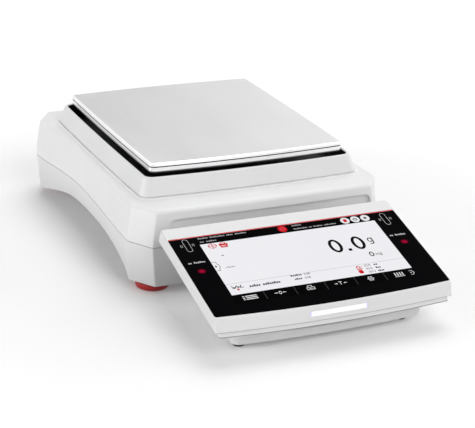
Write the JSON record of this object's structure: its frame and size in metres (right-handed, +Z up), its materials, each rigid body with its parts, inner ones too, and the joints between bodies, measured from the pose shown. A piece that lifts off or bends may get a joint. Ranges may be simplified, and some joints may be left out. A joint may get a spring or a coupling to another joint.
{
  "type": "precision balance",
  "caption": "Open-pan laboratory precision balance: arched two-shell housing, draft ring, square steel pan, levelling feet, weighing cell and a separate tilting touch-screen terminal.",
  "frame": {"origin": "middle of the whole balance's plan, on the bench", "axes": "+Z up, terminal towards -Y, +X to the right of a user who faces the terminal"},
  "size_m": [0.23, 0.4023, 0.098],
  "materials": {
    "housing": "fine-textured white moulding",
    "pan_steel": "brushed front to rear",
    "cast_alloy": "die cast, bead blasted",
    "milled_alloy": "milled",
    "rubber_black": "matt",
    "foot_red": "smooth dark red moulding",
    "steel": "turned or stamped",
    "zinc_screw": "zinc plated",
    "brass": "turned",
    "soft_iron": "turned, nickel plated",
    "magnet": "nickel plated",
    "copper_wire": "enamelled winding",
    "weight_steel": "polished",
    "black_plastic": "moulded",
    "circuit_board": "solder mask",
    "port_metal": "tinned shell",
    "vial_glass": "clear, liquid filled",
    "bezel_chrome": "polished",
    "case_white": "smooth white moulding",
    "screen_glass": "back-printed black glass",
    "screen_panel": "display module in a steel frame",
    "light_plastic": "translucent light guide",
    "sensor_red": "infrared window",
    "cover_grey": "textured moulding",
    "stand_grey": "textured moulding"
  },
  "bodies": {
    "root": {"lower_housing": "housing", "upper_housing": "housing", "housing_screws": "zinc_screw", "foot_bushes": "brass", "chassis_plate": "cast_alloy", "chassis_screws": "zinc_screw", "cell_frame": "milled_alloy", "lever_pin": "steel", "magnet_pot": "soft_iron", "magnet": "magnet", "position_sensor": "circuit_board", "overload_stops": "steel", "cal_motor": "steel", "motor_bracket": "steel", "main_board": "circuit_board", "power_inlet": "black_plastic", "network_port": "port_metal", "serial_port": "port_metal", "device_port": "port_metal", "host_port": "port_metal", "level_vial": "vial_glass", "level_bezel": "bezel_chrome", "terminal_stand": "stand_grey", "stand_feet": "rubber_black", "hinge_pins": "steel", "terminal_bracket": "steel", "bracket_screws": "zinc_screw"},
    "draft_ring": {"draft_ring": "housing"},
    "load_receiver": {"load_hanger": "milled_alloy", "pan_carrier": "cast_alloy", "pan_bumpers": "rubber_black"},
    "pan": {"pan": "pan_steel"},
    "lever": {"weighing_lever": "milled_alloy", "coil": "copper_wire"},
    "guide_low": {"lower_guide": "milled_alloy"},
    "guide_high": {"upper_guide": "milled_alloy"},
    "cal_lift": {"cal_lifter": "black_plastic", "cal_weight": "weight_steel"},
    "cal_screw": {"cal_spindle": "brass"},
    "terminal_head": {"terminal_case": "case_white", "display_glass": "screen_glass", "display_panel": "screen_panel", "display_board": "circuit_board", "light_bar": "light_plastic", "proximity_sensors": "sensor_red", "terminal_cover": "cover_grey", "cover_screws": "zinc_screw"},
    "hook_cover": {"hook_cover": "black_plastic"},
    "foot_front_left": {"foot_pad_front_left": "rubber_black"},
    "wheel_front_left": {"foot_wheel_front_left": "foot_red", "foot_stud_front_left": "steel"},
    "foot_front_right": {"foot_pad_front_right": "rubber_black"},
    "wheel_front_right": {"foot_wheel_front_right": "foot_red", "foot_stud_front_right": "steel"},
    "foot_rear_left": {"foot_pad_rear_left": "rubber_black"},
    "wheel_rear_left": {"foot_wheel_rear_left": "foot_red", "foot_stud_rear_left": "steel"},
    "foot_rear_right": {"foot_pad_rear_right": "rubber_black"},
    "wheel_rear_right": {"foot_wheel_rear_right": "foot_red", "foot_stud_rear_right": "steel"}
  },
  "joints": [
    {"name": "foot_front_left_height", "type": "slide", "parent": "root", "child": "foot_front_left", "axis": [0, 0, 1], "range_m": [-0.006, 0]},
    {"name": "foot_front_left_turn", "type": "hinge", "parent": "foot_front_left", "child": "wheel_front_left", "pos_m": [-0.092, -0.05256, 0], "axis": [0, 0, 1], "range_deg": [-1748, 20]},
    {"name": "foot_front_right_height", "type": "slide", "parent": "root", "child": "foot_front_right", "axis": [0, 0, 1], "range_m": [-0.006, 0]},
    {"name": "foot_front_right_turn", "type": "hinge", "parent": "foot_front_right", "child": "wheel_front_right", "pos_m": [0.092, -0.05256, 0], "axis": [0, 0, 1], "range_deg": [-1748, 20]},
    {"name": "foot_rear_left_height", "type": "slide", "parent": "root", "child": "foot_rear_left", "axis": [0, 0, 1], "range_m": [-0.006, 0]},
    {"name": "foot_rear_left_turn", "type": "hinge", "parent": "foot_rear_left", "child": "wheel_rear_left", "pos_m": [-0.084, 0.18144, 0], "axis": [0, 0, 1], "range_deg": [-1748, 20]},
    {"name": "foot_rear_right_height", "type": "slide", "parent": "root", "child": "foot_rear_right", "axis": [0, 0, 1], "range_m": [-0.006, 0]},
    {"name": "foot_rear_right_turn", "type": "hinge", "parent": "foot_rear_right", "child": "wheel_rear_right", "pos_m": [0.084, 0.18144, 0], "axis": [0, 0, 1], "range_deg": [-1748, 20]},
    {"name": "draft_ring_lift", "type": "slide", "parent": "root", "child": "draft_ring", "axis": [0, 0, 1], "range_m": [0, 0.05]},
    {"name": "load_travel", "type": "slide", "parent": "root", "child": "load_receiver", "axis": [0, 0, 1], "range_m": [-0.0003, 0.0001], "stiffness_N_per_m": 40000, "springref_m": 0.00014},
    {"name": "pan_lift", "type": "slide", "parent": "load_receiver", "child": "pan", "axis": [0, 0, 1], "range_m": [0, 0.05]},
    {"name": "lever_swing", "type": "hinge", "parent": "root", "child": "lever", "pos_m": [0, 0.08644, 0.0577], "axis": [1, 0, 0], "range_deg": [-0.31, 0.91]},
    {"name": "lower_guide_flex", "type": "hinge", "parent": "root", "child": "guide_low", "pos_m": [0, 0.10444, 0.0443], "axis": [1, 0, 0], "range_deg": [-0.15, 0.44]},
    {"name": "upper_guide_flex", "type": "hinge", "parent": "root", "child": "guide_high", "pos_m": [0, 0.10444, 0.0637], "axis": [1, 0, 0], "range_deg": [-0.15, 0.44]},
    {"name": "cal_lift_travel", "type": "slide", "parent": "root", "child": "cal_lift", "axis": [0, 0, 1], "range_m": [-0.0018, 0]},
    {"name": "cal_spindle_turn", "type": "hinge", "parent": "root", "child": "cal_screw", "pos_m": [0.042, 0.01844, 0.0371], "axis": [0, 0, 1], "range_deg": [-1092, 12]},
    {"name": "terminal_tilt", "type": "hinge", "parent": "root", "child": "terminal_head", "pos_m": [0, -0.16294, 0.02252], "axis": [1, 0, 0], "range_deg": [0, 15]},
    {"name": "hook_cover_swivel", "type": "hinge", "parent": "root", "child": "hook_cover", "pos_m": [0, 0.08144, 0.0244], "axis": [0, 0, 1], "range_deg": [0, 90]}
  ],
  "couplings": [
    {"joint": "foot_front_left_turn", "follows": "foot_front_left_height", "rad_per_m": 5026.5},
    {"joint": "foot_front_right_turn", "follows": "foot_front_right_height", "rad_per_m": 5026.5},
    {"joint": "foot_rear_left_turn", "follows": "foot_rear_left_height", "rad_per_m": 5026.5},
    {"joint": "foot_rear_right_turn", "follows": "foot_rear_right_height", "rad_per_m": 5026.5},
    {"joint": "lever_swing", "follows": "load_travel", "rad_per_m": -52.632},
    {"joint": "lower_guide_flex", "follows": "load_travel", "rad_per_m": -25},
    {"joint": "upper_guide_flex", "follows": "load_travel", "rad_per_m": -25},
    {"joint": "cal_spindle_turn", "follows": "cal_lift_travel", "rad_per_m": 10472}
  ]
}
